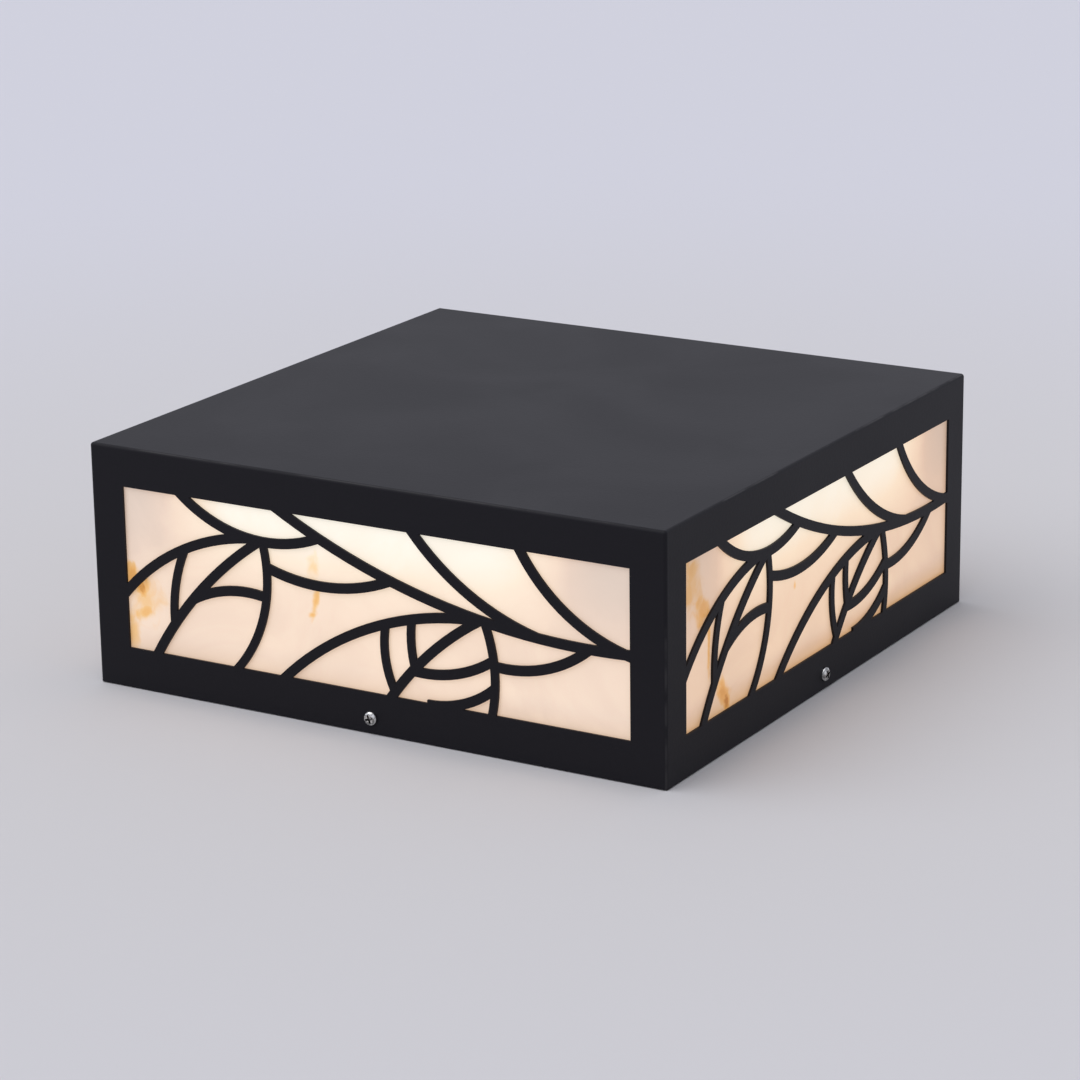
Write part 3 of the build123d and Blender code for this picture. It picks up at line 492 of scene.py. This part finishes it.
def lit_opal():
    """Opal plastic of the lamp's globe, lit from inside and brightest at its top."""
    tree = Tree("opal_plastic")
    place = tree.place()
    rise = tree.span(tree.along(place)["Z"], *GLOBE_HEIGHTS)
    haze = tree.noise(place, scale=300.0)
    tree.set(
        Base_Color=tree.mix(haze, (0.62, 0.61, 0.58), (0.68, 0.67, 0.64)),
        Roughness=0.4,
        Emission_Color=tree.ramp(rise, GLOBE_COLOURS),
        Emission_Strength=0.75,
        Normal=tree.bump(haze, distance=0.00004, strength=0.4),
    )
    return tree.material


def striped_insulation():
    """Green insulation with a yellow stripe along its upper side."""
    tree = Tree("green_yellow_insulation")
    facing = tree.add("ShaderNodeNewGeometry", {}).outputs["Normal"]
    stripe = tree.span(tree.along(facing)["Z"], 0.45, 0.5)
    grain = tree.noise(tree.place(), scale=900.0, detail=2.0)
    tree.set(
        Base_Color=tree.mix(stripe, (0.04, 0.22, 0.05), (0.72, 0.60, 0.05)),
        Roughness=0.42,
        Normal=tree.bump(grain, distance=0.00003, strength=0.5),
    )
    return tree.material


# One material for each slot of the record, then the pieces that have a material of their own
MATERIALS = {
    "black_coat": black_coat(),
    "foam": foam(),
    "zinc_sheet": zinc_sheet(),
    "bright_steel": metal("bright_steel", (0.56, 0.56, 0.55), (0.74, 0.74, 0.73), 0.18, 1200.0),
    "black_rubber": moulded("black_rubber", (0.014, 0.014, 0.014), (0.026, 0.026, 0.026), 0.62),
    "white_ceramic": ceramic(),
    "brass": metal("brass", (0.62, 0.43, 0.17), (0.80, 0.61, 0.29), 0.28, 1000.0),
    "tinned_copper": metal("tinned_copper", (0.55, 0.53, 0.49), (0.69, 0.67, 0.63), 0.32, 900.0),
    "lamp_cap": metal("lamp_cap", (0.56, 0.56, 0.56), (0.70, 0.70, 0.70), 0.30, 900.0),
    "black_insulator": moulded("black_insulator", (0.012, 0.012, 0.013), (0.022, 0.022, 0.023), 0.22),
    "white_plastic": moulded("white_plastic", (0.74, 0.74, 0.72), (0.80, 0.80, 0.78), 0.42),
    "opal_plastic": lit_opal(),
    "led_board": moulded("led_board", (0.72, 0.72, 0.70), (0.80, 0.80, 0.78), 0.5),
    "led_chip": moulded("led_chip", (0.72, 0.50, 0.07), (0.84, 0.62, 0.12), 0.45),
    "brown_insulation": moulded("brown_insulation", (0.13, 0.055, 0.025), (0.17, 0.075, 0.035), 0.42),
    "blue_insulation": moulded("blue_insulation", (0.03, 0.11, 0.40), (0.04, 0.15, 0.50), 0.42),
    "green_yellow_insulation": striped_insulation(),
}
OWN_MATERIALS = {f"{side}_diffuser": marble_panel(side, turn) for side, turn in SIDES.items()}
OWN_MATERIALS["side_screws"] = screw_head()

for subpart in frame["record"]["subparts"]:
    name = subpart["node"]
    mesh = nodes[name].data
    mesh.materials.clear()
    mesh.materials.append(OWN_MATERIALS.get(name) or MATERIALS[subpart["material_slot"]])

# Floor


def floor_material():
    """A plain pale floor that turns slightly bluer with distance from the middle."""
    tree = Tree("floor")
    turn = tree.span(tree.length(tree.place()), *FLOOR_TURN)
    tree.set(
        Base_Color=tree.mix(turn, FLOOR_NEAR, FLOOR_FAR),
        Roughness=0.75,
        Specular_IOR_Level=0.1,
    )
    return tree.material


floor_mesh = bpy.data.meshes.new("floor")
corners = [(x * FLOOR_REACH, y * FLOOR_REACH, FLOOR_HEIGHT) for x, y in FLOOR_CORNERS]
floor_mesh.from_pydata(corners, [], [(0, 1, 2, 3)])
floor_mesh.materials.append(floor_material())
floor = bpy.data.objects.new("floor", floor_mesh)
bpy.context.scene.collection.objects.link(floor)

# Surrounding light, which the camera and reflections see at a tone of its own
world = bpy.data.worlds.new("studio")
world.use_nodes = True
bpy.context.scene.world = world
sky_nodes = world.node_tree.nodes
sky_links = world.node_tree.links
rays = sky_nodes.new("ShaderNodeLightPath").outputs
seen = rays["Is Camera Ray"]
for kind in ("Is Glossy Ray", "Is Transmission Ray"):
    either = sky_nodes.new("ShaderNodeMath")
    either.operation = "MAXIMUM"
    sky_links.new(seen, either.inputs[0])
    sky_links.new(rays[kind], either.inputs[1])
    seen = either.outputs["Value"]
tone = sky_nodes.new("ShaderNodeMix")
tone.data_type = "RGBA"
tone.inputs[6].default_value = (*WORLD_LIGHT, 1.0)
tone.inputs[7].default_value = (*WORLD_SEEN, 1.0)
sky_links.new(seen, tone.inputs["Factor"])
sky_links.new(tone.outputs[2], sky_nodes["Background"].inputs["Color"])

# Broad soft light from above, even over the whole floor
key_data = bpy.data.lights.new("key", "SUN")
key_data.angle = radians(KEY_SPREAD)
key_data.energy = KEY_STRENGTH
key = bpy.data.objects.new("key", key_data)
key.location = KEY_FROM
key.rotation_euler = (-key.location).to_track_quat("-Z", "Y").to_euler()
bpy.context.scene.collection.objects.link(key)

# Camera
camera_data = bpy.data.cameras.new("camera")
camera_data.sensor_width = CAMERA_SENSOR
camera_data.lens = CAMERA_LENS
camera = bpy.data.objects.new("camera", camera_data)
camera.location = CAMERA_PLACE
camera.rotation_euler = [radians(angle) for angle in CAMERA_ANGLES]
bpy.context.scene.collection.objects.link(camera)
bpy.context.scene.camera = camera
bpy.context.scene.view_settings.view_transform = "Standard"
